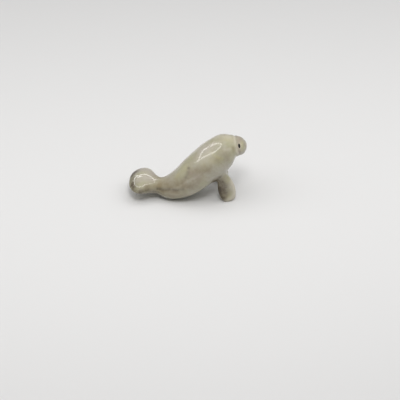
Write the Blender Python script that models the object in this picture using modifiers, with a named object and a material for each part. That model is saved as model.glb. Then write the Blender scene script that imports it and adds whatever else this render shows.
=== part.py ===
"""Porcelain manatee figurine: one solid casting that props itself up on its two fore flippers.

Frame: metres, +X towards the snout, +Y to the animal's left, +Z up. The origin lies in the small
ground flat under the belly, on the surface that the figurine stands on.
"""

import math
from collections import namedtuple

import bmesh
import bpy
from mathutils import Matrix, Vector

NAME = "manatee_figurine"
MM = 0.001

# One slice through the body: its centre ahead of, to the left of and above the origin, and its
# own width and height square to the spine. The spine bends like a gentle C in plan, with the tail
# and the head turned to the animal's left.
Section = namedtuple("Section", "name ahead left up width height")
SECTIONS = (
    Section("tail_edge", -16.1 * MM, 3.9 * MM, 5.2 * MM, 9.0 * MM, 1.6 * MM),
    Section("tail_rear", -14.2 * MM, 3.6 * MM, 5.6 * MM, 14.4 * MM, 2.5 * MM),
    Section("tail_middle", -11.0 * MM, 2.9 * MM, 5.7 * MM, 17.2 * MM, 3.3 * MM),
    Section("tail_front", -7.9 * MM, 2.0 * MM, 5.0 * MM, 11.2 * MM, 3.9 * MM),
    Section("waist", -5.2 * MM, 1.1 * MM, 4.2 * MM, 6.2 * MM, 4.8 * MM),
    Section("hip", -2.4 * MM, 0.4 * MM, 3.8 * MM, 10.0 * MM, 8.4 * MM),
    Section("belly", 1.0 * MM, 0.0 * MM, 4.5 * MM, 11.5 * MM, 10.6 * MM),
    Section("loin", 5.2 * MM, -0.1 * MM, 6.9 * MM, 13.8 * MM, 12.0 * MM),
    Section("rib", 8.8 * MM, 0.1 * MM, 10.2 * MM, 15.1 * MM, 13.4 * MM),
    Section("breast", 11.8 * MM, 0.4 * MM, 13.0 * MM, 15.2 * MM, 13.5 * MM),
    Section("shoulder", 14.3 * MM, 0.8 * MM, 15.2 * MM, 15.4 * MM, 13.7 * MM),
    Section("nape", 16.8 * MM, 1.3 * MM, 17.1 * MM, 15.5 * MM, 13.9 * MM),
    Section("neck", 19.6 * MM, 1.9 * MM, 19.35 * MM, 14.5 * MM, 13.1 * MM),
    Section("crown", 22.4 * MM, 2.5 * MM, 21.7 * MM, 12.6 * MM, 12.1 * MM),
    Section("groove", 25.0 * MM, 2.9 * MM, 21.5 * MM, 8.6 * MM, 7.8 * MM),
    Section("face", 26.5 * MM, 3.1 * MM, 21.3 * MM, 8.9 * MM, 7.9 * MM),
    Section("snout", 28.5 * MM, 3.4 * MM, 21.6 * MM, 6.9 * MM, 6.3 * MM),
)
TAIL_BULGE = 0.6 * MM  # how far the middle of the tail's edge stands out past its slice
SNOUT_BULGE = 1.5 * MM

# The flippers leave the edges of the belly from the slice behind this one to the slice ahead of it.
FLIPPER_SECTION = "shoulder"
FLIPPER_WIDTH = 6.1 * MM
FLIPPER_THICKNESS = 3.7 * MM
FLIPPER_LEAD = 2.0 * MM  # how far ahead of the shoulder's middle they leave the belly
FLIPPER_REACH = 7.15 * MM  # how far the feet of the flippers stand ahead of the shoulder's middle
FLIPPER_STANCE = 13.6 * MM  # between the middles of the two feet
FLIPPER_ROOT_ANGLE = math.radians(58)  # below the middle of the flank
FLIPPER_ROOT_DEPTH = 0.1  # share of the body's half width that the root starts inside the skin

# One ring around a flipper: how far down it lies from the root to the ground, and what shares of
# the flipper's width and thickness it has. The last ring lies below ground, and the flat is cut.
Ring = namedtuple("Ring", "down width thickness")
FLIPPER_RINGS = (
    Ring(0.16, 0.72, 1.05),
    Ring(0.45, 1.00, 0.95),
    Ring(0.78, 1.00, 1.00),
    Ring(1.05, 0.62, 0.80),
)
FLIPPER_EDGE = 0.6  # thickness of a flipper's edges, as a share of its middle

EYE_SECTION = "face"
EYE_LENGTH = 1.95 * MM
EYE_WIDTH = 0.95 * MM
EYE_DEPTH = 0.5 * MM
EYE_PROUD = 0.12 * MM
EYE_RISE = math.radians(38)  # above the middle of the cheek

SLICE_CORNERS = 12
FLIPPER_CORNERS = 6
CORNER_CUT = math.tan(math.pi / SLICE_CORNERS)  # leaves a slice's corners at equal angles
CAP_SHARE = 0.5  # size of the inner square on the two end faces
SUBDIVISIONS = 2
EYE_SEGMENTS = 24
EYE_RINGS = 12

GLAZE_COLOUR = (0.32, 0.30, 0.235, 1)
GLAZE_ROUGHNESS = 0.12


def ring_swell(corners):
    """How much a cage ring is larger than the round ring that subdivision makes of it."""
    return 6 / (4 + 2 * math.cos(2 * math.pi / corners))


def section_index(name):
    return [section.name for section in SECTIONS].index(name)


def section_centre(index):
    section = SECTIONS[index]
    return Vector((section.ahead, section.left, section.up))


def section_axes(index):
    """The directions along the spine, to the animal's left and away from its belly, at a slice."""
    behind = section_centre(max(index - 1, 0))
    before = section_centre(min(index + 1, len(SECTIONS) - 1))
    along = (before - behind).normalized()
    left = Vector((0, 0, 1)).cross(along).normalized()
    return along, left, along.cross(left)


def skin_point(index, angle, share=1.0):
    """The point of a slice at an angle above its left side, as a share of its half size."""
    section = SECTIONS[index]
    _, left, away = section_axes(index)
    across = left * section.width / 2 * math.cos(angle)
    upwards = away * section.height / 2 * math.sin(angle)
    return section_centre(index) + (across + upwards) * share


def sliced_block():
    """A block that spans one unit of X for each section, with each slice cut three by three."""
    bm = bmesh.new()
    bmesh.ops.create_cube(bm, size=2)
    last = len(SECTIONS) - 1
    for vert in bm.verts:
        vert.co.x = (vert.co.x + 1) / 2 * last
    cuts = [((index, 0, 0), (1, 0, 0)) for index in range(1, last)]
    for offset in (-CORNER_CUT, CORNER_CUT):
        cuts.append(((0, offset, 0), (0, 1, 0)))
        cuts.append(((0, 0, offset), (0, 0, 1)))
    for point, normal in cuts:
        everything = bm.verts[:] + bm.edges[:] + bm.faces[:]
        bmesh.ops.bisect_plane(bm, geom=everything, plane_co=point, plane_no=normal)
    bm.normal_update()
    return bm


def on_slice_edge(block_co):
    """Whether a corner of the block lies on its long sides, and not in the middle of an end."""
    return round(max(abs(block_co.y), abs(block_co.z))) == 1


def belly_edge_faces(bm, side):
    """The two faces along one edge of the block's underside that a flipper grows from."""
    middle = section_index(FLIPPER_SECTION)
    faces = []
    for face in bm.faces:
        centre = face.calc_center_median()
        on_belly_edge = round(face.normal.z) == -1 and centre.y * side > CORNER_CUT
        if on_belly_edge and middle - 1 < centre.x < middle + 1:
            faces.append(face)
    return faces


def grow_flippers(bm):
    """Extrudes both flippers down from the block, by one unit of Z for each ring."""
    for side in (-1, 1):
        faces = belly_edge_faces(bm, side)
        for _ in FLIPPER_RINGS:
            grown = bmesh.ops.extrude_face_region(bm, geom=faces)["geom"]
            bmesh.ops.delete(bm, geom=faces, context="FACES")
            verts = [item for item in grown if isinstance(item, bmesh.types.BMVert)]
            bmesh.ops.translate(bm, verts=verts, vec=(0, 0, -1))
            faces = [item for item in grown if isinstance(item, bmesh.types.BMFace)]


def body_point(block_co):
    """Where a corner of the block goes on the body."""
    index = round(block_co.x)
    angle = math.atan2(block_co.z, block_co.y)
    share = ring_swell(SLICE_CORNERS) * (1 if on_slice_edge(block_co) else CAP_SHARE)
    point = skin_point(index, angle, share)
    if not on_slice_edge(block_co):
        along = section_axes(index)[0]
        point += along * (SNOUT_BULGE if index else -TAIL_BULGE)
    return point


def flipper_axis(side):
    """The root and the foot of a flipper. The feet stand square to the body's heading."""
    middle = section_index(FLIPPER_SECTION)
    along, left, _ = section_axes(middle)
    angle = -FLIPPER_ROOT_ANGLE if side > 0 else math.pi + FLIPPER_ROOT_ANGLE
    heading = Vector((along.x, along.y, 0)).normalized()
    root = skin_point(middle, angle, 1 - FLIPPER_ROOT_DEPTH) + heading * FLIPPER_LEAD
    foot = section_centre(middle) + heading * FLIPPER_REACH + left * side * FLIPPER_STANCE / 2
    foot.z = 0
    return root, foot, heading


def flipper_point(block_co):
    """Where a corner of a grown flipper goes. The block's outer edge becomes its outer face."""
    side = math.copysign(1, block_co.y)
    ring = FLIPPER_RINGS[round(-block_co.z) - 2]
    root, foot, heading = flipper_axis(side)
    down = (foot - root).normalized()
    forward = (heading - down * heading.dot(down)).normalized()
    outward = forward.cross(down) * side
    fore_and_aft = round(block_co.x) - section_index(FLIPPER_SECTION)
    face_side = 1 if round(abs(block_co.y)) else -1
    swell = ring_swell(FLIPPER_CORNERS)
    half_width = FLIPPER_WIDTH / 2 * ring.width * swell
    half_thickness = FLIPPER_THICKNESS / 2 * ring.thickness * swell
    if fore_and_aft:
        half_thickness *= FLIPPER_EDGE
    middle = root.lerp(foot, ring.down)
    return middle + forward * fore_and_aft * half_width + outward * face_side * half_thickness


def animal_cage():
    bm = sliced_block()
    grow_flippers(bm)
    for vert in bm.verts:
        on_flipper = round(vert.co.z) < -1
        vert.co = flipper_point(vert.co) if on_flipper else body_point(vert.co)
    bmesh.ops.recalc_face_normals(bm, faces=bm.faces[:])
    return bm


def eye_bead(figurine, side):
    """A flat oval bead that stands a little proud of the cheek, set where a ray leaves the skin."""
    index = section_index(EYE_SECTION)
    along, left, away = section_axes(index)
    direction = left * side * math.cos(EYE_RISE) + away * math.sin(EYE_RISE)
    graph = bpy.context.evaluated_depsgraph_get()
    _, skin, outward, _ = figurine.ray_cast(section_centre(index), direction, depsgraph=graph)
    upright = outward.cross(along).normalized()
    axes = Matrix((upright.cross(outward), upright, outward)).transposed().to_4x4()
    centre = skin + outward * (EYE_PROUD - EYE_DEPTH / 2)
    size = Matrix.Diagonal((EYE_WIDTH / 2, EYE_LENGTH / 2, EYE_DEPTH / 2, 1))
    place = Matrix.Translation(centre) @ axes @ size
    bm = bmesh.new()
    bmesh.ops.create_uvsphere(bm, u_segments=EYE_SEGMENTS, v_segments=EYE_RINGS, radius=1, matrix=place)
    bmesh.ops.recalc_face_normals(bm, faces=bm.faces[:])
    return bm


def floor_block():
    """A block below the ground, with its top face in the plane z = 0."""
    bm = bmesh.new()
    size = 2 * (SECTIONS[-1].ahead - SECTIONS[0].ahead)
    bmesh.ops.create_cube(bm, size=size, matrix=Matrix.Translation((0, 0, -size / 2)))
    return bm


def new_object(name, bm, collection):
    mesh = bpy.data.meshes.new(name)
    bm.to_mesh(mesh)
    bm.free()
    obj = bpy.data.objects.new(name, mesh)
    collection.objects.link(obj)
    return obj


def new_cutter(name, bm, collection):
    cutter = new_object(name, bm, collection)
    cutter.hide_render = True
    cutter.display_type = "WIRE"
    return cutter


def add_boolean(obj, name, operation, cutter):
    boolean = obj.modifiers.new(name, "BOOLEAN")
    boolean.operation = operation
    boolean.solver = "EXACT"
    boolean.object = cutter


def glazed_porcelain():
    """Grey-green glaze, glossy and a little warm."""
    material = bpy.data.materials.new("glazed_porcelain")
    material.use_nodes = True
    shader = material.node_tree.nodes["Principled BSDF"]
    shader.inputs["Base Color"].default_value = GLAZE_COLOUR
    shader.inputs["Metallic"].default_value = 0
    shader.inputs["Roughness"].default_value = GLAZE_ROUGHNESS
    return material


def new_collection(name):
    collection = bpy.data.collections.new(name)
    bpy.context.scene.collection.children.link(collection)
    return collection


def clear_scene():
    for obj in list(bpy.data.objects):
        bpy.data.objects.remove(obj)


def main():
    clear_scene()
    parts = new_collection(NAME)
    cutters = new_collection("cutters")
    figurine = new_object(NAME, animal_cage(), parts)
    figurine.data.materials.append(glazed_porcelain())
    smooth = figurine.modifiers.new("rounded_clay", "SUBSURF")
    smooth.levels = SUBDIVISIONS
    smooth.render_levels = SUBDIVISIONS
    beads = []
    for name, side in (("right_eye", -1), ("left_eye", 1)):
        beads.append(new_cutter(name, eye_bead(figurine, side), cutters))
    for bead in beads:
        add_boolean(figurine, bead.name, "UNION", bead)
    add_boolean(figurine, "ground_flats", "DIFFERENCE", new_cutter("floor", floor_block(), cutters))
    figurine.data.shade_smooth()


main()
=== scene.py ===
"""Porcelain manatee figurine: glazed body, painted eyes and the stage that they are shown on.

Laid out as an add-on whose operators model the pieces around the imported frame. Sizes are in metres,
+X towards the snout, +Y to the animal's left, +Z up, with the belly's ground flat at the origin.
"""

import math
from collections import namedtuple

import bmesh
import bpy
import numpy as np
from bpy.props import FloatProperty, FloatVectorProperty, IntProperty, PointerProperty
from mathutils import Matrix, Vector
from mathutils.interpolate import poly_3d_calc


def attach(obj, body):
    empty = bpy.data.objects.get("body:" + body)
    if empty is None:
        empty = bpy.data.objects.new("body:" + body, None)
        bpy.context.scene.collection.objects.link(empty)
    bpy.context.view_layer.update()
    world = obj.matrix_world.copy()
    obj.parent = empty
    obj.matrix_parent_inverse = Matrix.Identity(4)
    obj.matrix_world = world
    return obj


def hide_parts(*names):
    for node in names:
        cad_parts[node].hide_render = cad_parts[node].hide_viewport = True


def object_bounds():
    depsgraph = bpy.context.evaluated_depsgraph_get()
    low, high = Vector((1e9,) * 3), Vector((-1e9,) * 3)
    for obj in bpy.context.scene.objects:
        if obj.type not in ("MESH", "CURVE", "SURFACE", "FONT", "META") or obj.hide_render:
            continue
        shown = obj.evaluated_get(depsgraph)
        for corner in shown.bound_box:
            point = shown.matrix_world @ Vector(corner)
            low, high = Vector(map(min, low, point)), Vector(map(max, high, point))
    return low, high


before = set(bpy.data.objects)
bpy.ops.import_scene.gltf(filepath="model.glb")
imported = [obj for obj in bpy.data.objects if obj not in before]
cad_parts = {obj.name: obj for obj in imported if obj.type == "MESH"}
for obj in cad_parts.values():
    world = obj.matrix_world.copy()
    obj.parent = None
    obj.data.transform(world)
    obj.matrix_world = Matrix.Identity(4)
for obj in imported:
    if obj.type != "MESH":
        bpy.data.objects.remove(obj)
CAD_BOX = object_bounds()

bl_info = {
    "name": "Porcelain manatee figurine",
    "version": (1, 0, 0),
    "blender": (4, 5, 0),
    "location": "View3D > Sidebar > Manatee",
    "description": "Models a glazed manatee figurine and the stage that it is shown on",
    "category": "Object",
}

MM = 0.001

# ---- Shape of the body ----

# One slice through the body: its centre ahead of, to the left of and above the origin, and its
# own width and height square to the spine, in millimetres.
Section = namedtuple("Section", "name ahead left up width height")
SECTIONS = (
    Section("tail_edge", -16.1, 3.9, 5.2, 9.0, 1.6),
    Section("tail_rear", -14.2, 3.6, 5.6, 14.4, 2.5),
    Section("tail_middle", -11.0, 2.9, 5.7, 17.2, 3.3),
    Section("tail_front", -7.9, 1.5, 5.0, 9.9, 3.9),
    Section("waist", -5.2, 1.1, 4.2, 6.2, 4.8),
    Section("hip", -2.4, 0.4, 3.8, 10.0, 8.4),
    Section("belly", 1.0, 0.0, 4.5, 11.5, 10.6),
    Section("loin", 5.2, -0.1, 6.9, 13.8, 12.0),
    Section("rib", 8.8, 0.1, 10.2, 15.1, 13.4),
    Section("breast", 11.8, 0.4, 13.0, 15.2, 13.5),
    Section("shoulder", 14.3, 0.8, 15.2, 15.4, 13.7),
    Section("nape", 16.8, 1.3, 17.1, 15.5, 13.9),
    Section("neck", 19.6, 1.9, 19.35, 14.5, 13.1),
    Section("crown", 22.4, 2.5, 21.7, 12.6, 12.1),
    Section("groove", 25.0, 2.9, 21.5, 8.6, 7.8),
    Section("face", 26.5, 3.1, 21.3, 8.9, 7.9),
    Section("snout", 28.5, 3.4, 21.6, 6.9, 6.3),
)

# One ring around a flipper: how far down it lies from the root to the ground, and what shares of
# the flipper's width and thickness it has.
Ring = namedtuple("Ring", "down width thickness")
FLIPPER_RINGS = (
    Ring(0.16, 0.72, 1.05),
    Ring(0.45, 1.00, 0.95),
    Ring(0.78, 1.00, 1.00),
    Ring(1.05, 0.62, 0.80),
)
FLIPPER_SECTION = "shoulder"
FLIPPER_EDGE = 0.6  # thickness of a flipper's edges, as a share of its middle
FLIPPER_ROOT_ANGLE = math.radians(58)  # below the middle of the flank
FLIPPER_ROOT_DEPTH = 0.1
SLICE_CORNERS = 12
FLIPPER_CORNERS = 6
CORNER_CUT = math.tan(math.pi / SLICE_CORNERS)
CORNER_PULL = math.cos(math.pi / 4) / math.cos(math.pi / SLICE_CORNERS)  # rounds the square block
RING_RADIUS = 1 / math.cos(math.pi / SLICE_CORNERS)  # of a slice of the block once it is rounded
CAP_SHARE = 0.5  # radius of the middle of an end, as a share of the whole end's

LEVEL = 0.999  # share of a face's normal that points down on a flat
NEAR_GROUND = 0.01 * MM

EYE_CORNERS = 48
EYE_STEPS = (0.06, 0.12, 0.2, 0.25, 0.2)  # rings from the rim inwards, as shares of its radius
EYE_SOFTNESS = 0.03 * MM
EYE_RIM_ANGLE = math.radians(50)

# A stroke that presses a line into the clay on both flanks: points on the near one in millimetres,
# the depth in millimetres at its two ends (below zero the line is raised) and its half width.
Stroke = namedtuple("Stroke", "name points depths width")
STROKES = (
    Stroke("tail_dome", ((-11.4, 1.9, 7.2), (-8.6, 1.7, 7.1)), (-0.75, -0.75), 5.5),
    Stroke(
        "tail_crown",
        ((-14.5, 4.1, 7.1), (-13.4, 3.7, 7.5), (-11.8, 3.4, 7.9), (-10.2, 3.1, 7.9), (-8.6, 2.5, 7.8)),
        (-0.04, -0.04),
        1.4,
    ),
    Stroke(
        "flank_fold",
        ((-6.1, -2.3, 5.3), (-5.0, -2.6, 5.4), (-3.4, -3.5, 5.8), (-1.1, -4.7, 6.6), (1.2, -5.6, 7.2),
         (4.7, -6.7, 8.3)),
        (0.38, 0.0),
        0.65,
    ),
    Stroke(
        "head_ridge",
        ((25.0, 2.9, 25.8), (25.0, 0.9, 25.4), (25.1, -0.6, 24.5), (25.4, -1.7, 22.8),
         (25.8, -1.6, 21.1), (26.0, 0.6, 18.2), (26.1, 3.0, 17.2)),
        (-0.09, -0.11),
        0.6,
    ),
    Stroke(
        "muzzle_crease",
        ((26.2, 3.0, 25.5), (26.3, 0.9, 25.2), (26.4, -0.6, 24.3), (26.5, -1.4, 22.5),
         (26.6, -1.3, 20.6), (26.9, 0.6, 18.2), (27.0, 3.0, 17.4)),
        (0.12, 0.16),
        0.6,
    ),
    Stroke(
        "mouth",
        ((30.2, 3.4, 20.2), (29.4, 1.0, 19.9), (28.0, -0.3, 20.2), (27.2, -0.9, 20.7)),
        (0.2, 0.14),
        0.25,
    ),
    Stroke("nostril", ((29.3, 2.3, 23.6), (29.5, 2.5, 23.3)), (0.2, 0.2), 0.28),
)

# The brush strokes of each paint on the skin: points in millimetres, radius in millimetres, strength,
# and whether the other flank gets them too. The dry ones take the shine off the glaze.
Brush = namedtuple("Brush", "points radius strength both", defaults=(True,))
BRUSHES = {
    # Brown rims and specks, and painted shade along the flank fold, under the tail's rim, on the
    # flipper's rear edge and in its root crease.
    "brown_rim_and_shade": (
        Brush(((-12.4, 9.6, 6.1), (-14.1, 8.7, 5.9), (-15.6, 4.9, 6.1)), 1.2, 0.55, False),
        Brush(((-15.9, 4.2, 6.0), (-16.5, 1.5, 5.8), (-16.1, -1.8, 5.7), (-14.6, -4.1, 5.7),
               (-12.7, -4.8, 5.7), (-10.2, -3.9, 5.4)), 1.8, 0.75, False),
        Brush(((-14.4, 8.0, 6.2), (-15.4, 6.0, 6.3), (-15.9, 3.4, 6.3), (-16.0, 0.4, 6.2),
               (-15.4, -2.4, 6.1)), 1.9, 0.85, False),
        Brush(((-10.2, -3.9, 5.2), (-7.7, -2.8, 4.8), (-5.8, -2.3, 4.3)), 1.3, 0.6, False),
        Brush(((-5.8, -2.4, 5.2), (-3.4, -3.6, 5.8), (-1.1, -4.7, 6.6)), 0.75, 0.65),
        Brush(((-1.1, -4.7, 6.6), (1.2, -5.6, 7.2), (4.0, -6.5, 8.0)), 0.65, 0.5),
        Brush(((16.6, -3.9, 9.9), (18.0, -3.4, 7.2), (18.2, -4.0, 5.1), (18.9, -5.1, 3.2),
               (19.4, -5.5, 2.4)), 1.9, 1.0),
        Brush(((19.2, -4.5, 9.6), (20.4, -5.2, 5.6), (20.6, -5.6, 4.4)), 2.0, 0.75),
        Brush(((18.5, -4.7, 6.6), (18.8, -5.0, 4.9)), 1.2, 1.0),
        Brush(((18.8, -4.8, 12.0), (17.6, -4.6, 10.2), (15.6, -5.0, 9.6)), 1.1, 0.6),
        Brush(((6.2, -3.0, 16.0), (6.6, -3.3, 16.1)), 0.6, 0.45, False),
        Brush(((6.2, -4.1, 14.6), (5.6, -4.6, 13.0)), 0.9, 0.35, False),
        Brush(((20.2, 4.0, 26.3), (20.9, 4.1, 26.3)), 0.7, 0.2, False),
    ),
    # Painted highlights along the head's ridge, on the muzzle, on the crests of head and back and on the
    # flipper's front edge, and a painted reflection of the floor low on the belly.
    "pale": (
        Brush(((24.9, 2.9, 25.7), (25.1, 0.0, 25.0), (25.5, -1.7, 22.8), (26.1, -1.6, 21.0)),
               0.55, 0.65),
        Brush(((26.6, -0.2, 24.0), (26.7, -0.7, 23.2)), 1.1, 0.6),
        Brush(((23.7, -3.2, 8.3), (24.9, -4.0, 4.2), (24.0, -5.3, 2.0), (21.3, -6.1, 1.0)), 1.1, 0.7),
        Brush(((-0.4, -5.4, 5.0), (4.7, -6.5, 5.4), (9.0, -7.0, 7.6)), 1.1, 0.2),
        Brush(((18.0, 4.9, 25.2), (20.2, 4.6, 26.0), (22.6, 3.0, 26.3)), 1.8, 0.6, False),
        Brush(((11.0, -2.6, 19.8), (13.6, -3.6, 20.8), (14.6, -2.6, 22.4)), 2.0, 0.25),
        Brush(((20.7, -2.7, 24.2), (23.2, -2.4, 24.2)), 0.7, 0.3),
    ),
    "olive": (
        Brush(((22.0, 0.6, 26.0), (23.4, 0.9, 25.9)), 1.9, 0.5, False),
        Brush(((20.4, -4.1, 11.0), (21.4, -4.0, 9.6)), 1.4, 0.9),
        Brush(((12.4, -5.4, 19.5), (16.0, -4.9, 21.0)), 1.8, 0.3, False),
        Brush(((16.0, -3.6, 22.8), (18.0, -4.6, 21.8), (19.4, -4.8, 21.4)), 0.8, 0.7, False),
        Brush(((27.6, 1.3, 24.3), (28.2, -0.4, 22.0)), 1.0, 0.6),
        Brush(((21.6, -5.8, 3.6), (22.4, -5.7, 2.6)), 1.2, 0.8),
        Brush(((2.4, -2.2, 11.4), (5.4, -2.2, 15.0)), 1.6, 0.6, False),
    ),
    "mauve": (
        # The first two mauve strokes are painted shade in the crease between head and muzzle.
        Brush(((27.2, 3.0, 25.0), (26.6, 1.5, 25.0)), 1.1, 0.8),
        Brush(((26.4, 0.9, 25.3), (26.5, -0.6, 24.4), (26.6, -1.4, 22.6), (26.8, -1.3, 20.8)),
               0.6, 0.8),
        Brush(((29.3, 1.5, 23.2), (29.7, 1.3, 21.6), (29.4, 1.2, 20.4)), 0.9, 0.6),
        Brush(((6.8, -4.8, 15.0), (9.9, -6.7, 14.4)), 1.7, 0.6, False),
        Brush(((20.3, -5.2, 5.8), (21.1, -5.6, 4.0)), 1.3, 0.4),
        Brush(((7.6, -1.4, 17.2), (10.0, -1.0, 19.6)), 1.4, 0.2, False),
    ),
    "rose": (
        Brush(((-14.3, 7.6, 6.2), (-12.0, 8.4, 6.6), (-9.4, 7.6, 6.8), (-7.2, 5.0, 6.8)),
               2.3, 0.8, False),
        Brush(((-12.4, 2.2, 7.9), (-10.6, 1.6, 7.9), (-8.2, 1.0, 7.7)), 2.2, 0.6, False),
        Brush(((12.0, 0.6, 20.4), (15.0, 0.2, 22.6), (17.4, 0.4, 23.8)), 1.6, 0.5, False),
    ),
    # Brown strokes that paint shade: the lower flank, belly, waist, flipper and under the head are
    # darker, and a dark line runs along the back's far edge.
    "umber_and_shade": (
        Brush(((-4.2, -2.2, 6.2), (-2.4, -3.4, 6.6)), 1.2, 0.4),
        Brush(((-4.9, -1.6, 6.3), (-2.6, -3.0, 7.3), (-0.3, -4.2, 8.2), (2.0, -5.3, 9.0),
               (4.4, -6.3, 9.7), (6.7, -7.0, 10.1)), 3.2, 0.75),
        Brush(((-3.8, -3.3, 4.4), (-1.1, -4.9, 3.9), (1.3, -5.6, 4.0), (4.0, -6.4, 5.4)), 2.3, 0.75),
        Brush(((-2.6, -3.8, 5.4), (-0.3, -4.9, 5.8), (2.4, -6.0, 6.4)), 1.6, 0.85),
        Brush(((9.2, -5.4, 16.3), (11.5, -6.1, 16.8), (13.9, -6.4, 17.2)), 2.2, 0.5),
        Brush(((6.7, -6.5, 12.2), (9.1, -7.0, 12.6)), 2.4, 0.5),
        Brush(((-9.7, -2.2, 6.5), (-7.3, -1.6, 6.2), (-5.4, -0.9, 6.4)), 1.6, 0.75, False),
        Brush(((17.9, -5.0, 21.1), (20.8, -4.6, 20.6), (21.0, -4.6, 22.6)), 1.8, 0.3),
        Brush(((23.9, -1.7, 24.3), (24.2, -2.6, 22.6)), 0.5, 0.4),
        Brush(((-2.0, 1.8, 8.6), (2.0, 2.2, 12.8), (5.0, 2.6, 15.4), (7.5, 4.2, 17.0),
               (11.0, 5.0, 19.6), (15.0, 5.3, 22.8)), 1.2, 0.35, False),
        Brush(((18.8, -4.4, 9.8), (18.8, -5.0, 5.1), (19.6, -5.3, 3.4)), 2.3, 0.8),
    ),
    "dry": (
        Brush(((-5.2, 3.4, 6.0), (-4.4, 1.2, 6.8), (-4.4, -1.2, 6.4), (-4.6, -3.0, 4.6)),
               1.9, 1.0, False),
        Brush(((17.0, -3.6, 10.0), (18.2, -4.0, 5.1), (20.1, -5.9, 1.4)), 2.2, 1.0),
    ),
}

# ---- Glints ----

PHOTO_WIDTH = 400  # pixels

# A line of light that the glaze mirrors: the points of the line in the photograph and its width, in
# pixels, whether it closes, and the brightness of the lamps that make it.
Glint = namedtuple("Glint", "name points closed width light")
GLINTS = (
    Glint(
        "back",
        ((196.2, 162.6), (198.6, 160.0), (199.8, 156.8), (201.3, 153.6), (203.5, 150.3), (207.0, 147.5),
         (211.0, 145.3), (215.0, 143.9), (219.0, 143.2), (221.3, 143.6), (221.0, 145.8), (218.8, 148.3),
         (216.5, 150.8), (213.0, 152.8), (208.5, 154.7), (204.0, 156.8), (200.2, 159.2)),
        False, 1.2, 4.2,
    ),
    Glint(
        "tail",
        ((134.3, 179.5), (135.3, 177.2), (138.0, 175.8), (141.0, 174.8), (145.0, 174.4), (149.0, 175.5),
         (152.5, 178.2), (155.3, 180.6), (153.5, 182.8), (149.0, 184.0), (144.5, 185.0), (142.0, 187.0),
         (138.0, 187.0), (135.0, 185.3), (134.1, 182.0)),
        True, 0.75, 4.2,
    ),
    Glint(
        "flank",
        ((183.0, 183.5), (187.0, 181.3), (190.0, 180.0), (192.5, 179.0), (195.0, 178.0), (197.0, 177.0),
         (199.0, 175.8)),
        False, 2.6, 1.2,
    ),
)

# ---- Slices ----


def section_index(name):
    return [section.name for section in SECTIONS].index(name)


def section_centre(index):
    section = SECTIONS[index]
    return Vector((section.ahead, section.left, section.up)) * MM


def section_axes(index):
    """The directions along the spine, to the animal's left and away from its belly, at a slice."""
    behind = section_centre(max(index - 1, 0))
    before = section_centre(min(index + 1, len(SECTIONS) - 1))
    along = (before - behind).normalized()
    left = Vector((0, 0, 1)).cross(along).normalized()
    return along, left, along.cross(left)


def ring_swell(corners):
    """How much a cage ring is larger than the round ring that subdivision makes of it."""
    return 6 / (4 + 2 * math.cos(2 * math.pi / corners))


def skin_point(index, angle, share):
    section = SECTIONS[index]
    _, left, away = section_axes(index)
    across = left * section.width / 2 * math.cos(angle)
    upwards = away * section.height / 2 * math.sin(angle)
    return section_centre(index) + (across + upwards) * share * MM


# ---- Modelling by operators ----


def add_primitive(name, add, **settings):
    """Adds a primitive as the one selected and active object, and opens it in edit mode."""
    bpy.ops.object.select_all(action="DESELECT")
    add(**settings)
    obj = bpy.context.object
    obj.name = name
    obj.data.name = name
    bpy.ops.object.mode_set(mode="EDIT")
    return obj


def pick(obj, mode, test):
    """Selects the corners, edges or faces of the open mesh that pass a test, and nothing else."""
    bpy.ops.mesh.select_mode(type=mode)
    bpy.ops.mesh.select_all(action="DESELECT")
    mesh = bmesh.from_edit_mesh(obj.data)
    items = {"VERT": mesh.verts, "EDGE": mesh.edges, "FACE": mesh.faces}[mode]
    for item in items:
        if test(item):
            item.select_set(True)
    mesh.select_flush_mode()
    bmesh.update_edit_mesh(obj.data)


def pick_numbered(obj, numbers):
    pick(obj, "VERT", lambda vert: vert.index in numbers)


def numbers_where(obj, test):
    mesh = bmesh.from_edit_mesh(obj.data)
    return {vert.index for vert in mesh.verts if test(vert.co)}


def turn(axes, centre=(0, 0, 0)):
    """Turns the selection to these axes. With no window the operator turns the other way."""
    rotation = Matrix(axes).transposed()
    for axis, angle in zip("XYZ", rotation.to_euler("XYZ")):
        bpy.ops.transform.rotate(value=-angle, orient_axis=axis, center_override=centre)


def shift(value):
    bpy.ops.transform.translate(value=value)


def stretch(value, centre=(0, 0, 0)):
    bpy.ops.transform.resize(value=value, center_override=centre)


def face_outwards():
    """Turns every face of the open mesh to the outside and leaves edit mode."""
    bpy.ops.mesh.select_all(action="SELECT")
    bpy.ops.mesh.normals_make_consistent(inside=False)
    bpy.ops.object.mode_set(mode="OBJECT")


def apply_modifier(obj, name, kind, **settings):
    modifier = obj.modifiers.new(name, kind)
    for key, value in settings.items():
        setattr(modifier, key, value)
    bpy.context.view_layer.objects.active = obj
    bpy.ops.object.modifier_apply(modifier=modifier.name)


# ---- Body ----


def slice_block(obj):
    """Cuts the block into one unit of X for each section, and each slice three by three."""
    last = len(SECTIONS) - 1
    shift((1, 0, 0))
    stretch((last / 2, 1, 1))
    cuts = [((index, 0, 0), (1, 0, 0)) for index in range(1, last)]
    for offset in (-CORNER_CUT, CORNER_CUT):
        cuts.append(((0, offset, 0), (0, 1, 0)))
        cuts.append(((0, 0, offset), (0, 0, 1)))
    for point, normal in cuts:
        bpy.ops.mesh.select_all(action="SELECT")
        bpy.ops.mesh.bisect(plane_co=point, plane_no=normal)


def grow_flippers(obj):
    """Extrudes both flippers down from the block's lower edges, one unit of Z for each ring."""
    middle = section_index(FLIPPER_SECTION)
    for side in (-1, 1):

        def on_belly_edge(face, side=side):
            centre = face.calc_center_median()
            near = middle - 1 < centre.x < middle + 1
            return near and round(face.normal.z) == -1 and centre.y * side > CORNER_CUT

        pick(obj, "FACE", on_belly_edge)
        for _ in FLIPPER_RINGS:
            bpy.ops.mesh.extrude_region_move(TRANSFORM_OT_translate={"value": (0, 0, -1)})


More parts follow.
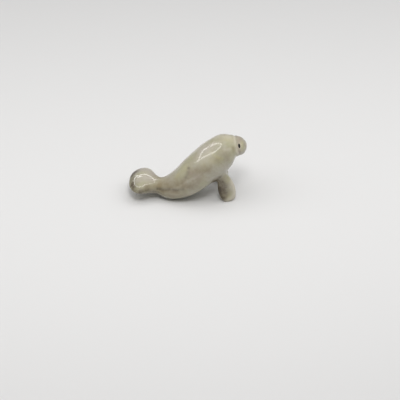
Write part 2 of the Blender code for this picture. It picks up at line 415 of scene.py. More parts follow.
def place_slice(obj, index, on_slice, in_cap, bulge):
    """Sizes one slice of the block, turns it square to the spine and moves it to its place."""
    section = SECTIONS[index]
    swell = ring_swell(SLICE_CORNERS) / RING_RADIUS
    pick_numbered(obj, on_slice)
    shift((-index, 0, 0))
    stretch((1, section.width / 2 * swell * MM, section.height / 2 * swell * MM))
    if in_cap:
        pick_numbered(obj, in_cap)
        shift((bulge, 0, 0))
        pick_numbered(obj, on_slice)
    turn(section_axes(index))
    shift(section_centre(index))


def place_flipper_ring(obj, sizes, side, ring, on_ring, on_edge):
    """Sizes one ring of a flipper, turns it square to the flipper and moves it to its place."""
    middle = section_index(FLIPPER_SECTION)
    along, left, _ = section_axes(middle)
    heading = Vector((along.x, along.y, 0)).normalized()
    angle = -FLIPPER_ROOT_ANGLE if side > 0 else math.pi + FLIPPER_ROOT_ANGLE
    root = skin_point(middle, angle, 1 - FLIPPER_ROOT_DEPTH) + heading * sizes.flipper_lead
    across = left * side * sizes.flipper_stance / 2
    foot = section_centre(middle) + heading * sizes.flipper_reach + across
    foot.z = 0
    down = (foot - root).normalized()
    forward = (heading - down * heading.dot(down)).normalized()
    outward = forward.cross(down) * side
    swell = ring_swell(FLIPPER_CORNERS)
    thickness = sizes.flipper_thickness * ring.thickness * swell / (1 - CORNER_CUT)
    pick_numbered(obj, on_ring)
    shift((-middle, -side * (1 + CORNER_CUT) / 2, 2 + FLIPPER_RINGS.index(ring)))
    stretch((sizes.flipper_width / 2 * ring.width * swell, thickness, 1))
    pick_numbered(obj, on_edge)
    stretch((1, FLIPPER_EDGE, 1))
    pick_numbered(obj, on_ring)
    turn((forward, outward * side, forward.cross(outward * side)))
    shift(root.lerp(foot, ring.down))


def model_cage(sizes):
    """Shapes a block into the cage of the whole animal."""
    obj = add_primitive("glazed_body", bpy.ops.mesh.primitive_cube_add, size=2)
    slice_block(obj)
    grow_flippers(obj)
    middle = section_index(FLIPPER_SECTION)
    slices = []
    for index in range(len(SECTIONS)):
        on_slice = numbers_where(obj, lambda co: round(co.x) == index and round(abs(co.z)) < 2)
        in_cap = numbers_where(
            obj, lambda co: round(co.x) == index and round(abs(co.y)) == 0 and round(abs(co.z)) == 0
        )
        slices.append((on_slice, in_cap))
    rings = []
    for side in (-1, 1):
        for step, ring in enumerate(FLIPPER_RINGS):
            on_ring = numbers_where(obj, lambda co: round(co.z) == -2 - step and co.y * side > 0)
            on_edge = {vert.index for vert in bmesh.from_edit_mesh(obj.data).verts
                       if vert.index in on_ring and round(vert.co.x) != middle}
            rings.append((side, ring, on_ring, on_edge))
    corners = numbers_where(obj, lambda co: round(abs(co.y)) == 1 and round(abs(co.z)) == 1)
    pick_numbered(obj, corners)
    stretch((1, CORNER_PULL, CORNER_PULL))
    caps = set().union(*(in_cap for _, in_cap in slices))
    pick_numbered(obj, caps)
    cap_pull = CAP_SHARE * RING_RADIUS / (CORNER_CUT * math.sqrt(2))
    stretch((1, cap_pull, cap_pull))
    for index, (on_slice, in_cap) in enumerate(slices):
        bulge = sizes.snout_bulge if index else -sizes.tail_bulge
        place_slice(obj, index, on_slice, in_cap, bulge)
    for side, ring, on_ring, on_edge in rings:
        place_flipper_ring(obj, sizes, side, ring, on_ring, on_edge)
    face_outwards()
    return obj


def mesh_arrays(obj):
    """The places and normals of a mesh's corners and the pairs that its edges join."""
    count = len(obj.data.vertices)
    places = np.empty(count * 3)
    normals = np.empty(count * 3)
    pairs = np.empty(len(obj.data.edges) * 2, dtype=int)
    obj.data.vertices.foreach_get("co", places)
    obj.data.vertices.foreach_get("normal", normals)
    obj.data.edges.foreach_get("vertices", pairs)
    return places.reshape(-1, 3), normals.reshape(-1, 3), pairs.reshape(-1, 2)


def mean_over_edges(pairs, count, at_first, at_second):
    """The mean at each corner of what its edges hold at their first and at their second end."""
    total = np.zeros((count, *at_first.shape[1:]))
    edges = np.zeros(count)
    for end, values in enumerate((at_first, at_second)):
        np.add.at(total, pairs[:, end], values)
        np.add.at(edges, pairs[:, end], 1)
    return total / (edges[:, None] if total.ndim > 1 else edges)


def neighbour_mean(values, pairs):
    return mean_over_edges(pairs, len(values), values[pairs[:, 1]], values[pairs[:, 0]])


def keep_on_mesh(obj, name, values):
    obj.data.attributes.new(name, "FLOAT", "POINT").data.foreach_set("value", values)


def mirrored(point):
    """The same point on the other flank: across the plane that holds the spine."""
    centres = [section_centre(index) for index in range(len(SECTIONS))]
    aheads = [centre.x for centre in centres]
    index = int(np.clip(np.searchsorted(aheads, point.x), 1, len(SECTIONS) - 1))
    share = (point.x - aheads[index - 1]) / (aheads[index] - aheads[index - 1])
    centre = centres[index - 1].lerp(centres[index], min(max(share, 0), 1))
    left = section_axes(index)[1]
    return point - 2 * left * (point - centre).dot(left)


def skin_paths(obj, points, both):
    """A path laid on the skin, and its mirror image on the other flank if both are wanted."""
    near = [Vector(point) * MM for point in points]
    paths = [near, [mirrored(point) for point in near]] if both else [near]
    return [[np.array(obj.closest_point_on_mesh(point)[1]) for point in path] for path in paths]


def reach_of_paths(places, paths):
    """How far each place is from the nearest path, and how far along that path, from 0 to 1."""
    nearest = np.full(len(places), np.inf)
    along = np.zeros(len(places))
    for path in paths:
        spans = len(path) - 1
        for number, (start, end) in enumerate(zip(path, path[1:])):
            run = end - start
            share = np.clip((places - start) @ run / (run @ run), 0, 1)
            distance = np.linalg.norm(places - start - share[:, None] * run, axis=1)
            closer = distance < nearest
            nearest[closer] = distance[closer]
            along[closer] = (number + share[closer]) / spans
    return nearest, along


def press_stroke(obj, stroke):
    """Presses a soft line into the skin on both flanks, or raises it."""
    places, normals, _ = mesh_arrays(obj)
    nearest, along = reach_of_paths(places, skin_paths(obj, stroke.points, both=True))
    depth = np.interp(along, (0, 1), stroke.depths) * MM
    press = depth * np.exp(-((nearest / (stroke.width * MM)) ** 2))
    obj.data.vertices.foreach_set("co", (places - normals * press[:, None]).ravel())
    obj.data.update()


def brush_paints(obj):
    """Keeps on the mesh how much of each paint the brush strokes leave, from 0 to 1."""
    places, _, _ = mesh_arrays(obj)
    for paint, brushes in BRUSHES.items():
        amount = np.zeros(len(places))
        for brush in brushes:
            nearest, _ = reach_of_paths(places, skin_paths(obj, brush.points, brush.both))
            fade = np.exp(-((nearest / (brush.radius * MM)) ** 2))
            amount = np.maximum(amount, brush.strength * fade)
        keep_on_mesh(obj, paint, amount)


def cut_ground_flats(obj, sizes):
    """Cuts the body off at the ground, and leaves a rim of glaze around each bare flat."""
    bpy.context.view_layer.objects.active = obj
    bpy.ops.object.mode_set(mode="EDIT")
    bpy.ops.mesh.select_all(action="SELECT")
    bpy.ops.mesh.bisect(
        plane_co=(0, 0, 0), plane_no=(0, 0, 1), clear_inner=True, use_fill=True,
        threshold=sizes.cut_threshold,
    )
    pick(obj, "FACE", lambda face: face.normal.z < -LEVEL and face.calc_center_median().z < NEAR_GROUND)
    bpy.ops.mesh.inset(thickness=sizes.foot_rim, depth=0)
    obj.active_material_index = 1
    bpy.ops.object.material_slot_assign()
    bpy.ops.object.mode_set(mode="OBJECT")


def paint_glaze_depth(obj, sizes):
    """Keeps on the mesh the hollows (above half), where glaze pools and shade is painted, and the
    ridges, where it breaks thin.
    """
    places, normals, pairs = mesh_arrays(obj)
    length = np.linalg.norm(places[pairs[:, 0]] - places[pairs[:, 1]], axis=1)
    spacing = mean_over_edges(pairs, len(places), length, length)
    hollow = ((neighbour_mean(places, pairs) - places) * normals).sum(1) / spacing**2
    hollow = np.clip(hollow * sizes.hollow_reach, -1, 1)
    for _ in range(sizes.pool_spread):
        hollow = neighbour_mean(hollow, pairs)
    keep_on_mesh(obj, "glaze_depth", np.clip(hollow / 2 + 0.5, 0, 1))


def model_body(sizes):
    obj = model_cage(sizes)
    levels = sizes.smoothing
    apply_modifier(obj, "rounded_clay", "SUBSURF", levels=levels, render_levels=levels)
    for stroke in STROKES:
        press_stroke(obj, stroke)
    unevenness = bpy.data.textures.new("hand_smoothed_clay", "CLOUDS")
    unevenness.noise_scale = sizes.unevenness_reach
    apply_modifier(
        obj, "hand_smoothed", "DISPLACE", texture=unevenness, texture_coords="LOCAL",
        strength=sizes.unevenness,
    )
    obj.data.materials.append(grey_green_glaze())
    obj.data.materials.append(bare_clay())
    cut_ground_flats(obj, sizes)
    paint_glaze_depth(obj, sizes)
    brush_paints(obj)
    obj.data.shade_smooth()
    return obj


# ---- Eyes ----


def model_eye(name, body, sizes, side):
    """A flat oval of black glaze that follows the cheek and stands a little proud of it."""
    index = section_index("face")
    along, left, away = section_axes(index)
    direction = left * side * math.cos(sizes.eye_rise) + away * math.sin(sizes.eye_rise)
    _, skin, outward, _ = body.ray_cast(section_centre(index) - along * sizes.eye_back, direction)
    upright = outward.cross(along).normalized()
    axes = (upright.cross(outward), upright, outward)
    obj = add_primitive(
        name, bpy.ops.mesh.primitive_circle_add, vertices=EYE_CORNERS, radius=1, fill_type="NGON"
    )
    for thickness in EYE_STEPS:
        bpy.ops.mesh.inset(thickness=thickness, depth=0)
    bpy.ops.mesh.poke()
    bpy.ops.mesh.select_all(action="SELECT")
    stretch((sizes.eye_width / 2, sizes.eye_length / 2, 1))
    turn(axes)
    shift(skin)
    bpy.ops.object.mode_set(mode="OBJECT")
    apply_modifier(obj, "on_the_cheek", "SHRINKWRAP", target=body, wrap_method="NEAREST_SURFACEPOINT")
    across = Matrix.Diagonal((2 / sizes.eye_width, 2 / sizes.eye_length, 0)) @ Matrix(axes)
    for vert in obj.data.vertices:
        reach = (across @ (vert.co - skin)).length
        crown = max(1 - reach**2, 0) ** 0.5
        vert.co += outward * (sizes.eye_proud * crown + sizes.eye_rim * (1 - crown))
    apply_modifier(obj, "thickness", "SOLIDIFY", thickness=sizes.eye_depth, offset=-1)
    apply_modifier(obj, "soft_rim", "BEVEL", width=EYE_SOFTNESS, segments=3, angle_limit=EYE_RIM_ANGLE)
    bpy.ops.object.mode_set(mode="EDIT")
    face_outwards()
    obj.data.materials.append(black_glaze())
    obj.data.shade_smooth()
    return obj


# ---- Materials ----


def new_group(name, inputs, outputs):
    """A node group with the named sockets, and its inner input and output nodes."""
    group = bpy.data.node_groups.new(name, "ShaderNodeTree")
    for socket, kind, value in inputs:
        made = group.interface.new_socket(socket, in_out="INPUT", socket_type=kind)
        if value is not None:
            made.default_value = value
    for socket, kind in outputs:
        group.interface.new_socket(socket, in_out="OUTPUT", socket_type=kind)
    return group, group.nodes.new("NodeGroupInput"), group.nodes.new("NodeGroupOutput")


def plug(tree, socket, value):
    """Links the output of another node to a socket, or sets the socket to a value."""
    if isinstance(value, bpy.types.NodeSocket):
        tree.links.new(value, socket)
    else:
        socket.default_value = value


def add_node(tree, kind, label, inputs=None, **settings):
    """Adds a labelled node. Each input is a value, or the output of another node to link."""
    node = tree.nodes.new(f"ShaderNode{kind}")
    node.label = label
    node.name = label
    for key, value in settings.items():
        setattr(node, key, value)
    for socket, value in (inputs or {}).items():
        plug(tree, node.inputs[socket], value)
    return node


def calculated(tree, label, operation, first, second, use_clamp=False):
    return add_node(
        tree, "Math", label, {0: first, 1: second}, operation=operation, use_clamp=use_clamp
    ).outputs[0]


def remapped(tree, label, value, ends, kind="LINEAR"):
    """A value moved from the From ends to the To ends, which are 0 and 1 where they aren't given."""
    return add_node(
        tree, "MapRange", label, {"Value": value, **ends}, interpolation_type=kind
    ).outputs["Result"]


def mottle_group():
    """Soft cloudy patches and fine grain, both from 0 to 1."""
    known = bpy.data.node_groups.get("cloudy_mottle")
    if known:
        return known
    group, given, out = new_group(
        "cloudy_mottle",
        [
            ("Vector", "NodeSocketVector", None),
            ("Patch Scale", "NodeSocketFloat", 300.0),
            ("Grain Scale", "NodeSocketFloat", 2500.0),
            ("Contrast", "NodeSocketFloat", 0.16),
        ],
        [("Patches", "NodeSocketFloat"), ("Grain", "NodeSocketFloat")],
    )
    patches = add_node(
        group, "TexNoise", "patches",
        {"Vector": given.outputs["Vector"], "Scale": given.outputs["Patch Scale"], "Detail": 3.0,
         "Roughness": 0.55},
    )
    low = calculated(group, "low end", "SUBTRACT", 0.5, given.outputs["Contrast"])
    high = calculated(group, "high end", "ADD", 0.5, given.outputs["Contrast"])
    ends = {"From Min": low, "From Max": high}
    spread = remapped(group, "spread", patches.outputs["Fac"], ends, "SMOOTHSTEP")
    grain = add_node(
        group, "TexNoise", "grain",
        {"Vector": given.outputs["Vector"], "Scale": given.outputs["Grain Scale"], "Detail": 2.0},
    )
    group.links.new(spread, out.inputs["Patches"])
    group.links.new(grain.outputs["Fac"], out.inputs["Grain"])
    return group


def speck_group():
    """Small round iron specks strewn at random, 1 in a speck and 0 elsewhere."""
    known = bpy.data.node_groups.get("iron_specks")
    if known:
        return known
    group, given, out = new_group(
        "iron_specks",
        [
            ("Vector", "NodeSocketVector", None),
            ("Scale", "NodeSocketFloat", 500.0),
            ("Size", "NodeSocketFloat", 0.12),
            ("Share", "NodeSocketFloat", 0.1),
        ],
        [("Specks", "NodeSocketFloat")],
    )
    cells = add_node(
        group, "TexVoronoi", "cells",
        {"Vector": given.outputs["Vector"], "Scale": given.outputs["Scale"]},
    )
    ends = {"From Min": given.outputs["Size"], "From Max": 0.0}
    dot = remapped(group, "dot", cells.outputs["Distance"], ends, "SMOOTHSTEP")
    chance = add_node(group, "SeparateColor", "chance", {"Color": cells.outputs["Color"]})
    chosen = calculated(group, "chosen", "LESS_THAN", chance.outputs["Red"], given.outputs["Share"])
    specks = calculated(group, "specks", "MULTIPLY", dot, chosen)
    group.links.new(specks, out.inputs["Specks"])
    return group


def add_group(tree, group, label, inputs):
    return add_node(tree, "Group", label, inputs, node_tree=group).outputs


def add_clouds(tree, label, place, patch_scale, grain_scale, contrast):
    return add_group(tree, mottle_group(), label, {
        "Vector": place, "Patch Scale": patch_scale, "Grain Scale": grain_scale, "Contrast": contrast,
    })


def add_specks(tree, label, place, scale, size, share):
    inputs = {"Vector": place, "Scale": scale, "Size": size, "Share": share}
    return add_group(tree, speck_group(), label, inputs)["Specks"]


def mix_colours(tree, label, share, first, second):
    node = add_node(tree, "Mix", label, data_type="RGBA")
    for identifier, value in {"Factor_Float": share, "A_Color": first, "B_Color": second}.items():
        plug(tree, next(item for item in node.inputs if item.identifier == identifier), value)
    return next(item for item in node.outputs if item.identifier == "Result_Color")


def tinted(tree, label, clouds, strength, colour, tint):
    """A colour with a tint laid on it where the clouds are, at a strength."""
    share = calculated(tree, f"{label} share", "MULTIPLY", clouds, strength)
    return mix_colours(tree, label, share, colour, rgba(tint))


def new_material(name, roughness, specular, coat=0.0, coat_roughness=0.03):
    material = bpy.data.materials.new(name)
    material.use_nodes = True
    tree = material.node_tree
    shader = tree.nodes["Principled BSDF"]
    shader.inputs["Roughness"].default_value = roughness
    shader.inputs["Specular IOR Level"].default_value = specular
    shader.inputs["Coat Weight"].default_value = coat
    shader.inputs["Coat Roughness"].default_value = coat_roughness
    return material, tree, shader


def glaze_settings():
    return bpy.context.scene.manatee_glaze


def rgba(colour):
    return (*colour, 1)


def object_place(tree):
    return add_node(tree, "TexCoord", "place").outputs["Object"]


def from_mesh(tree, name):
    """A value that was kept on the mesh."""
    return add_node(tree, "Attribute", f"{name} on mesh", attribute_name=name).outputs["Fac"]


def roughen(tree, shader, height, strength, distance):
    inputs = {"Height": height, "Strength": strength, "Distance": distance}
    bump = add_node(tree, "Bump", "fine relief", inputs)
    tree.links.new(bump.outputs["Normal"], shader.inputs["Normal"])


def painted_share(tree, paint, cloud, low, high):
    """The share of a paint: its brush strokes, broken up by clouds."""
    amount = from_mesh(tree, paint)
    broken = remapped(tree, f"{paint} broken", cloud, {"To Min": low, "To Max": high})
    return calculated(tree, f"{paint} share", "MULTIPLY", amount, broken, use_clamp=True)


def grey_green_glaze():
    """Warm grey glaze with olive and mauve clouds, pale on ridges, brown where it pools, and strokes of
    painted shade and highlight.
    """
    glaze = glaze_settings()
    material, tree, shader = new_material(
        "grey_green_glaze", roughness=0.35, specular=0.35, coat=1.0,
        coat_roughness=glaze.glaze_roughness,
    )
    place = object_place(tree)
    moved = add_node(
        tree, "Mapping", "moved", {"Vector": place, "Location": (0.37, 0.11, 0.53)}
    ).outputs["Vector"]
    broad = add_clouds(tree, "broad clouds", place, patch_scale=150, grain_scale=2600, contrast=0.14)
    small = add_clouds(tree, "small clouds", moved, patch_scale=380, grain_scale=4000, contrast=0.12)
    fine = add_clouds(tree, "fine clouds", moved, patch_scale=900, grain_scale=5000, contrast=0.14)
    colour = rgba(glaze.cream)
    colour = tinted(tree, "olive clouds", broad["Patches"], glaze.olive_share, colour, glaze.olive)
    colour = tinted(tree, "mauve clouds", small["Patches"], glaze.mauve_share, colour, glaze.mauve)
    colour = tinted(tree, "freckles", fine["Patches"], glaze.freckle_share, colour, glaze.freckles)
    for paint, tint, cloud, low, high in (
        ("olive", glaze.olive_paint, small["Patches"], 0.5, 1.0),
        # Two of the mauve strokes are painted shade in the crease behind the muzzle.
        ("mauve", glaze.mauve_paint, broad["Patches"], 0.6, 1.0),
        ("rose", glaze.rose_paint, small["Patches"], 0.8, 1.0),
        # Painted shade in brown, low on the body, under the head and along the back's far edge.
        ("umber_and_shade", glaze.umber_and_shade_paint, small["Patches"], 0.75, 1.1),
        # Painted highlights on ridges, crests and the flipper's front edge, and a painted reflection low
        # on the belly.
        ("pale", glaze.thin, small["Grain"], 0.6, 1.0),
    ):
        share = painted_share(tree, paint, cloud, low, high)
        colour = mix_colours(tree, f"{paint} paint", share, colour, rgba(tint))
    depth = from_mesh(tree, "glaze_depth")
    # Hollows darken: pooled glaze, and painted shade where parts meet, as at the flipper's root.
    pooled = remapped(tree, "pooled", depth, {"From Min": 0.57, "From Max": 0.95}, "SMOOTHSTEP")
    colour = mix_colours(tree, "pooled in hollows", pooled, colour, rgba(glaze.pooled))
    thin = remapped(tree, "thin", depth, {"From Min": 0.40, "From Max": 0.05}, "SMOOTHSTEP")
    colour = tinted(tree, "thin on ridges", thin, 0.35, colour, glaze.thin)
    # Brown rims and specks, with painted shade in the fold, under the tail's rim and in the flipper's
    # creases.
    brown_rim_and_shade = painted_share(tree, "brown_rim_and_shade", small["Patches"], low=0.65, high=1.2)
    colour = mix_colours(tree, "toasted edges", brown_rim_and_shade, colour, rgba(glaze.brown_rim_and_shade))
    specks = add_specks(tree, "fine specks", place, scale=420.0, size=0.14, share=0.05)
    colour = tinted(tree, "specks", specks, 0.35, colour, glaze.iron)
    tree.links.new(colour, shader.inputs["Base Color"])
    roughness = remapped(tree, "roughness", broad["Grain"], {"To Min": 0.28, "To Max": 0.42})
    tree.links.new(roughness, shader.inputs["Roughness"])
    coat = remapped(tree, "coat", from_mesh(tree, "dry"), {"To Min": 1.0, "To Max": 0.1})
    tree.links.new(coat, shader.inputs["Coat Weight"])
    roughen(tree, shader, small["Grain"], strength=0.04, distance=0.05 * MM)
    return material


def bare_clay():
    """Unglazed clay, pale and dry, where the figurine stands."""
    glaze = glaze_settings()
    material, tree, shader = new_material("bare_clay", roughness=0.85, specular=0.25)
    place = object_place(tree)
    clouds = add_clouds(tree, "clouds", place, patch_scale=600, grain_scale=6000, contrast=0.2)
    colour = tinted(tree, "stains", clouds["Patches"], 0.35, rgba(glaze.clay), glaze.mauve)
    grog = add_specks(tree, "grog", place, scale=1500.0, size=0.2, share=0.2)
    colour = tinted(tree, "grog specks", grog, 0.5, colour, glaze.iron)
    tree.links.new(colour, shader.inputs["Base Color"])
    roughen(tree, shader, clouds["Grain"], strength=0.5, distance=0.1 * MM)
    return material


def black_glaze():
    """Black glaze with a thin brown edge to its clouds."""
    known = bpy.data.materials.get("black_glaze")
    if known:
        return known
    glaze = glaze_settings()
    material, tree, shader = new_material(
        "black_glaze", roughness=0.25, specular=0.5, coat=1.0,
        coat_roughness=glaze.glaze_roughness,
    )
    place = object_place(tree)
    clouds = add_clouds(tree, "clouds", place, patch_scale=1200, grain_scale=8000, contrast=0.2)
    colour = tinted(tree, "brown clouds", clouds["Patches"], 0.5, rgba(glaze.eye), glaze.eye_edge)
    tree.links.new(colour, shader.inputs["Base Color"])
    return material


# ---- Stage ----

FLOOR_SIZE = 6
LAMP_ENERGY = 4  # of a lamp of one square metre with a brightness of one


def camera_axes(stage):
    """The camera's right, up and back."""
    turned, raised = stage.camera_azimuth, stage.camera_elevation
    right = Vector((math.cos(turned), math.sin(turned), 0))
    level = Vector((math.sin(turned), -math.cos(turned), 0))
    back = level * math.cos(raised) + Vector((0, 0, math.sin(raised)))
    return right, back.cross(right), back


def camera_place(stage):
    right, up, back = camera_axes(stage)
    away = stage.aim_depth + stage.camera_distance
    return right * stage.aim_right + up * stage.aim_up + back * away


def add_camera(stage):
    data = bpy.data.cameras.new("camera")
    data.sensor_width = 36
    data.angle = stage.camera_view
    data.clip_start = 0.01
    data.clip_end = 20
    camera = bpy.data.objects.new("camera", data)
    axes = Matrix(camera_axes(stage)).transposed().to_4x4()
    camera.matrix_world = Matrix.Translation(camera_place(stage)) @ axes
    bpy.context.scene.collection.objects.link(camera)
    bpy.context.scene.camera = camera


def add_area_lamp(name, place, aim, along, length, width, brightness):
    """A flat lamp that faces its aim, with its length laid along a direction."""
    data = bpy.data.lights.new(name, "AREA")
    data.shape = "RECTANGLE"
    data.size = length
    data.size_y = width
    data.energy = LAMP_ENERGY * brightness * length * width
    lamp = bpy.data.objects.new(name, data)
    back = (place - aim).normalized()
    right = (along - back * along.dot(back)).normalized()
    axes = Matrix((right, back.cross(right), back)).transposed().to_4x4()
    lamp.matrix_world = Matrix.Translation(place) @ axes
    bpy.context.scene.collection.objects.link(lamp)
    return lamp


def seen_skin(body, stage, point):
    """The spot of the skin at a point of the photograph, and where a lamp that glints there hangs."""
    eye, (right, up, back) = camera_place(stage), camera_axes(stage)
    half = PHOTO_WIDTH / 2
    across = right * (point.x - half) - up * (point.y - half)
    ray = (across - back * half / math.tan(stage.camera_view / 2)).normalized()
    _, spot, _, number = body.ray_cast(eye, ray)
    corners = [body.data.vertices[index] for index in body.data.polygons[number].vertices]
    shares = poly_3d_calc([corner.co for corner in corners], spot)
    normal = sum((corner.normal * share for corner, share in zip(corners, shares)), Vector())
    return spot, spot + ray.reflect(normal.normalized()) * stage.glint_reach


def short_spans(glint, longest):
    """The line of a glint as pairs of points, none further apart than the longest span."""
    points = [Vector(point) for point in glint.points]
    ends = points[1:] + points[:1] if glint.closed else points[1:]
    spans = []
    for start, end in zip(points, ends):
        parts = math.ceil((end - start).length / longest)
        stops = [start.lerp(end, part / parts) for part in range(parts + 1)]
        spans.extend(zip(stops, stops[1:]))
    return spans


def add_glint(body, stage, glint):
    """Hangs a flat tube for each short span of a glint, which only shines in the glaze.

    A narrow beam holds all the light of a tube, so the tube gets the share that keeps it as bright.
    """
    half_beam = stage.glint_beam / 2
    light = glint.light * (1 - half_beam / math.tan(half_beam))
    for number, (start, end) in enumerate(short_spans(glint, stage.glint_span)):
        run = seen_skin(body, stage, end)[1] - seen_skin(body, stage, start)[1]
        edge = Vector((start.y - end.y, end.x - start.x)).normalized() * glint.width / 2
        middle = (start + end) / 2
        spot, place = seen_skin(body, stage, middle)
        across = seen_skin(body, stage, middle + edge)[1] - seen_skin(body, stage, middle - edge)[1]
        width = across.cross(run.normalized()).length
        name = f"{glint.name}_glint_{number + 1}"
        tube = add_area_lamp(name, place, spot, run, run.length, width, light)
        tube.data.spread = stage.glint_beam
        tube.visible_diffuse = False
        tube.visible_camera = False


def add_floor(stage):
    """A pale floor that shows from above only, so that the underside can be seen from below."""
    floor = add_primitive("floor", bpy.ops.mesh.primitive_plane_add, size=FLOOR_SIZE)
    shift((0, 0, -stage.floor_gap))
    bpy.ops.object.mode_set(mode="OBJECT")
    material, tree, shader = new_material("pale_floor", roughness=0.9, specular=0.1)
    shader.inputs["Base Color"].default_value = rgba(stage.floor_colour)
    below = add_node(tree, "NewGeometry", "seen from below").outputs["Backfacing"]
    clear = add_node(tree, "BsdfTransparent", "clear").outputs["BSDF"]
    shown = add_node(
        tree, "MixShader", "one sided", {0: below, 1: shader.outputs["BSDF"], 2: clear}
    ).outputs["Shader"]
    tree.links.new(shown, tree.nodes["Material Output"].inputs["Surface"])
    floor.data.materials.append(material)


def light_world(stage):
    world = bpy.data.worlds.new("studio")
    world.use_nodes = True
    bpy.context.scene.world = world
    background = world.node_tree.nodes["Background"]
    background.inputs["Color"].default_value = rgba(stage.sky_colour)
    background.inputs["Strength"].default_value = stage.sky_strength


def set_stage(body, stage):
    add_floor(stage)
    light_world(stage)
    for glint in GLINTS:
        add_glint(body, stage, glint)
    below = Vector((stage.soft_ahead, stage.soft_left, 0))
    soft_top = add_area_lamp(
        "soft_top", below + Vector((0, 0, stage.soft_height)), below, Vector((1, 0, 0)),
        stage.soft_length, stage.soft_width, stage.soft_light,
    )
    middle = (Vector(CAD_BOX[0]) + Vector(CAD_BOX[1])) / 2
    lean = Vector((0, -math.sin(stage.key_tilt), math.cos(stage.key_tilt)))
    front_key = add_area_lamp(
        "front_key", middle + lean * stage.key_distance, middle, Vector((1, 0, 0)),
        stage.key_size, stage.key_size, stage.key_light,
    )
    for lamp in (soft_top, front_key):
        lamp.visible_glossy = False
    add_camera(stage)
    bpy.context.scene.view_settings.view_transform = "Standard"


# ---- Settings ----


def number_setting(name, description, default, **kind):
    return FloatProperty(name=name, description=description, default=default, **kind)


def length_setting(name, description, default):
    return number_setting(name, description, default, unit="LENGTH", precision=5)


def angle_setting(name, description, degrees):
    return number_setting(name, description, math.radians(degrees), subtype="ANGLE")


def colour_setting(name, painted, default):
    return FloatVectorProperty(
        name=name, description=f"Colour of the {painted}", default=default, subtype="COLOR", min=0, max=1
    )


def count_setting(name, description, default, **limits):
    return IntProperty(name=name, description=description, default=default, **limits)


class ManateeSizes(bpy.types.PropertyGroup):
    """Sizes of the body and the eyes."""

    tail_bulge: length_setting("Tail bulge", "How far the tail's middle stands out", 0.6 * MM)
    snout_bulge: length_setting("Snout bulge", "How far the snout's middle stands out", 1.5 * MM)
    flipper_width: length_setting("Flipper width", "Width of a flipper at its widest", 6.1 * MM)
    flipper_thickness: length_setting("Flipper thickness", "Thickness of a flipper's middle", 3.7 * MM)
    flipper_lead: length_setting("Flipper lead", "How far ahead of the shoulder they start", 2.0 * MM)
    flipper_reach: length_setting("Flipper reach", "How far ahead of the shoulder they stand", 7.15 * MM)
    flipper_stance: length_setting("Flipper stance", "Distance between the feet's middles", 13.6 * MM)
    foot_rim: length_setting("Foot rim", "Width of the rim of glaze around a bare flat", 0.15 * MM)
    cut_threshold: length_setting("Cut threshold", "How near the ground counts as on it", 0.0001 * MM)
    unevenness: length_setting("Unevenness", "How far the clay strays from its shape", 0.05 * MM)
    unevenness_reach: length_setting("Unevenness reach", "Size of one bump of the clay", 5 * MM)
    smoothing: count_setting("Smoothing", "Subdivision of the body", 4, min=2, max=4)
    hollow_reach: number_setting("Hollow reach", "How fast glaze pools with a hollow's depth", 0.0016)
    pool_spread: count_setting("Pool spread", "How far pooled glaze runs", 10, min=0)
    eye_length: length_setting("Eye length", "Height of an eye", 1.9 * MM)
    eye_width: length_setting("Eye width", "Width of an eye", 0.9 * MM)
    eye_proud: length_setting("Eye height", "How far an eye's middle stands out", 0.12 * MM)
    eye_rim: length_setting("Eye rim", "How far an eye's edge stands out", 0.03 * MM)
    eye_depth: length_setting("Eye depth", "How deep an eye goes into the cheek", 0.3 * MM)
    eye_back: length_setting("Eye back", "How far behind the face's widest part they lie", 0.25 * MM)
    eye_rise: angle_setting("Eye rise", "Height of the eyes above the middle of the cheek", 38)


class ManateeGlaze(bpy.types.PropertyGroup):
    """Colours of the glaze and the clay."""

    cream: colour_setting("Cream", "glaze", (0.40, 0.378, 0.298))
    olive: colour_setting("Olive", "green clouds", (0.36, 0.35, 0.19))
    mauve: colour_setting("Mauve", "pinkish clouds", (0.39, 0.335, 0.265))
    # Also painted shade in creases, such as at the flipper's root.
    pooled: colour_setting("Pooled", "glaze in hollows", (0.10, 0.07, 0.025))
    # Also the colour of the pale strokes, which are painted highlights.
    thin: colour_setting("Thin", "glaze on ridges", (0.60, 0.55, 0.44))
    iron: colour_setting("Iron", "specks", (0.09, 0.045, 0.02))
    clay: colour_setting("Clay", "bare clay", (0.62, 0.57, 0.48))
    eye: colour_setting("Eye", "eyes", (0.004, 0.0035, 0.003))
    eye_edge: colour_setting("Eye clouds", "eyes' brown clouds", (0.02, 0.012, 0.006))
    # Brown of rims and specks, also laid on as painted shade in creases and under rims.
    brown_rim_and_shade: colour_setting("Brown rims and shade", "brown rims, specks and painted shade in creases", (0.075, 0.055, 0.032))
    olive_paint: colour_setting("Olive strokes", "olive strokes", (0.44, 0.41, 0.24))
    mauve_paint: colour_setting("Mauve strokes", "mauve strokes", (0.30, 0.24, 0.20))
    rose_paint: colour_setting("Rose strokes", "pink grey strokes", (0.43, 0.385, 0.335))
    freckles: colour_setting("Freckles", "small brown clouds", (0.27, 0.24, 0.15))
    # Brown of the painted shade low on the body and along the back's far edge.
    umber_and_shade_paint: colour_setting("Umber and shade strokes", "brown strokes and painted shade", (0.21, 0.165, 0.09))
    olive_share: number_setting("Olive share", "Strength of the green clouds", 0.55)
    mauve_share: number_setting("Mauve share", "Strength of the pinkish clouds", 0.3)
    freckle_share: number_setting("Freckle share", "Strength of the small brown clouds", 0.22)
    glaze_roughness: number_setting("Glaze roughness", "Roughness of the glaze's surface", 0.015)


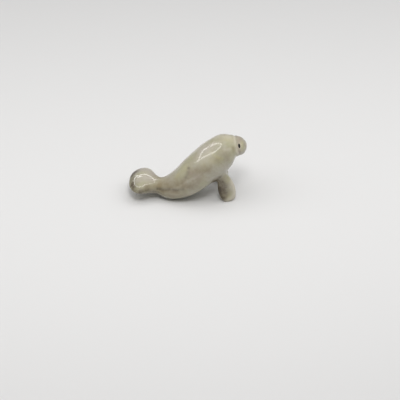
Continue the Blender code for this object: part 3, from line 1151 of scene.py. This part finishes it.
class ManateeStage(bpy.types.PropertyGroup):
    """Camera, lamps and floor."""

    camera_azimuth: angle_setting("Camera azimuth", "Turn of the camera round the figurine", -4)
    camera_elevation: angle_setting("Camera elevation", "Height of the camera above the horizon", 40)
    camera_view: angle_setting("Camera view", "Width of the view", 9)
    camera_distance: length_setting("Camera distance", "Distance from the camera to its aim", 1.009)
    aim_right: length_setting("Aim right", "How far right of the origin the camera aims", 11.12 * MM)
    aim_up: length_setting("Aim up", "How far above the origin the camera aims", -1.985 * MM)
    aim_depth: length_setting("Aim depth", "How far the aim lies towards the camera", 6.4 * MM)
    floor_colour: colour_setting("Floor", "floor", (0.68, 0.675, 0.67))
    floor_gap: length_setting("Floor gap", "How far the floor lies under the ground flats", 0.02 * MM)
    sky_colour: colour_setting("Sky", "light from all around", (1.0, 1.0, 1.0))
    sky_strength: number_setting("Sky strength", "Strength of the light from all around", 0.3)
    glint_reach: length_setting("Glint reach", "Distance of the lamps that glint", 0.1)
    glint_beam: angle_setting("Glint beam", "How wide the lamps that glint shine", 26)
    glint_span: number_setting("Glint span", "Longest stretch of a glint for one lamp, in pixels", 1.6)
    soft_ahead: length_setting("Soft lamp ahead", "How far ahead the soft lamp hangs", 0.05)
    soft_left: length_setting("Soft lamp left", "How far to the left the soft lamp hangs", 0.02)
    soft_height: length_setting("Soft lamp height", "Height of the soft lamp", 0.25)
    soft_length: length_setting("Soft lamp length", "Length of the soft lamp along the figurine", 1.2)
    soft_width: length_setting("Soft lamp width", "Width of the soft lamp", 0.24)
    soft_light: number_setting("Soft lamp light", "Brightness of the soft lamp", 1.2)
    key_tilt: angle_setting("Key tilt", "How far the key lamp leans towards the camera", 24)
    key_distance: length_setting("Key distance", "Distance of the key lamp", 0.5)
    key_size: length_setting("Key size", "Width of the key lamp", 0.15)
    key_light: number_setting("Key light", "Brightness of the key lamp", 9)


# ---- Operators and panel ----


class MANATEE_OT_body(bpy.types.Operator):
    """Models the glazed body with its tail and both flippers"""

    bl_idname = "manatee.body"
    bl_label = "Glazed body"

    def execute(self, context):
        body = model_body(context.scene.manatee_sizes)
        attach(body, "root")
        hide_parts("manatee_figurine")
        return {"FINISHED"}


class MANATEE_OT_eyes(bpy.types.Operator):
    """Paints both eyes on the cheeks of the body"""

    bl_idname = "manatee.eyes"
    bl_label = "Eyes"

    def execute(self, context):
        body = bpy.data.objects["glazed_body"]
        for name, side in (("right_eye", -1), ("left_eye", 1)):
            eye = model_eye(name, body, context.scene.manatee_sizes, side)
            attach(eye, "root")
        return {"FINISHED"}


class MANATEE_OT_stage(bpy.types.Operator):
    """Sets up the floor, the lamps and the camera"""

    bl_idname = "manatee.stage"
    bl_label = "Stage"

    def execute(self, context):
        set_stage(bpy.data.objects["glazed_body"], context.scene.manatee_stage)
        return {"FINISHED"}


class MANATEE_PT_panel(bpy.types.Panel):
    """Lists the pieces of the figurine"""

    bl_idname = "MANATEE_PT_panel"
    bl_label = "Porcelain manatee"
    bl_space_type = "VIEW_3D"
    bl_region_type = "UI"
    bl_category = "Manatee"

    def draw(self, context):
        layout = self.layout
        groups = (
            (MANATEE_OT_body, context.scene.manatee_sizes),
            (MANATEE_OT_eyes, context.scene.manatee_glaze),
            (MANATEE_OT_stage, context.scene.manatee_stage),
        )
        for operator, settings in groups:
            layout.operator(operator.bl_idname)
            for key in settings.bl_rna.properties.keys():
                if key not in ("rna_type", "name"):
                    layout.prop(settings, key)


SETTINGS = {"manatee_sizes": ManateeSizes, "manatee_glaze": ManateeGlaze, "manatee_stage": ManateeStage}
OPERATORS = (MANATEE_OT_body, MANATEE_OT_eyes, MANATEE_OT_stage)


def register():
    for kind in (*SETTINGS.values(), *OPERATORS, MANATEE_PT_panel):
        bpy.utils.register_class(kind)
    for key, kind in SETTINGS.items():
        setattr(bpy.types.Scene, key, PointerProperty(type=kind))


def unregister():
    for key in SETTINGS:
        delattr(bpy.types.Scene, key)
    for kind in (MANATEE_PT_panel, *reversed(OPERATORS), *reversed(SETTINGS.values())):
        bpy.utils.unregister_class(kind)


def main():
    register()
    bpy.ops.manatee.body()
    bpy.ops.manatee.eyes()
    bpy.ops.manatee.stage()


if __name__ == "__main__":
    main()
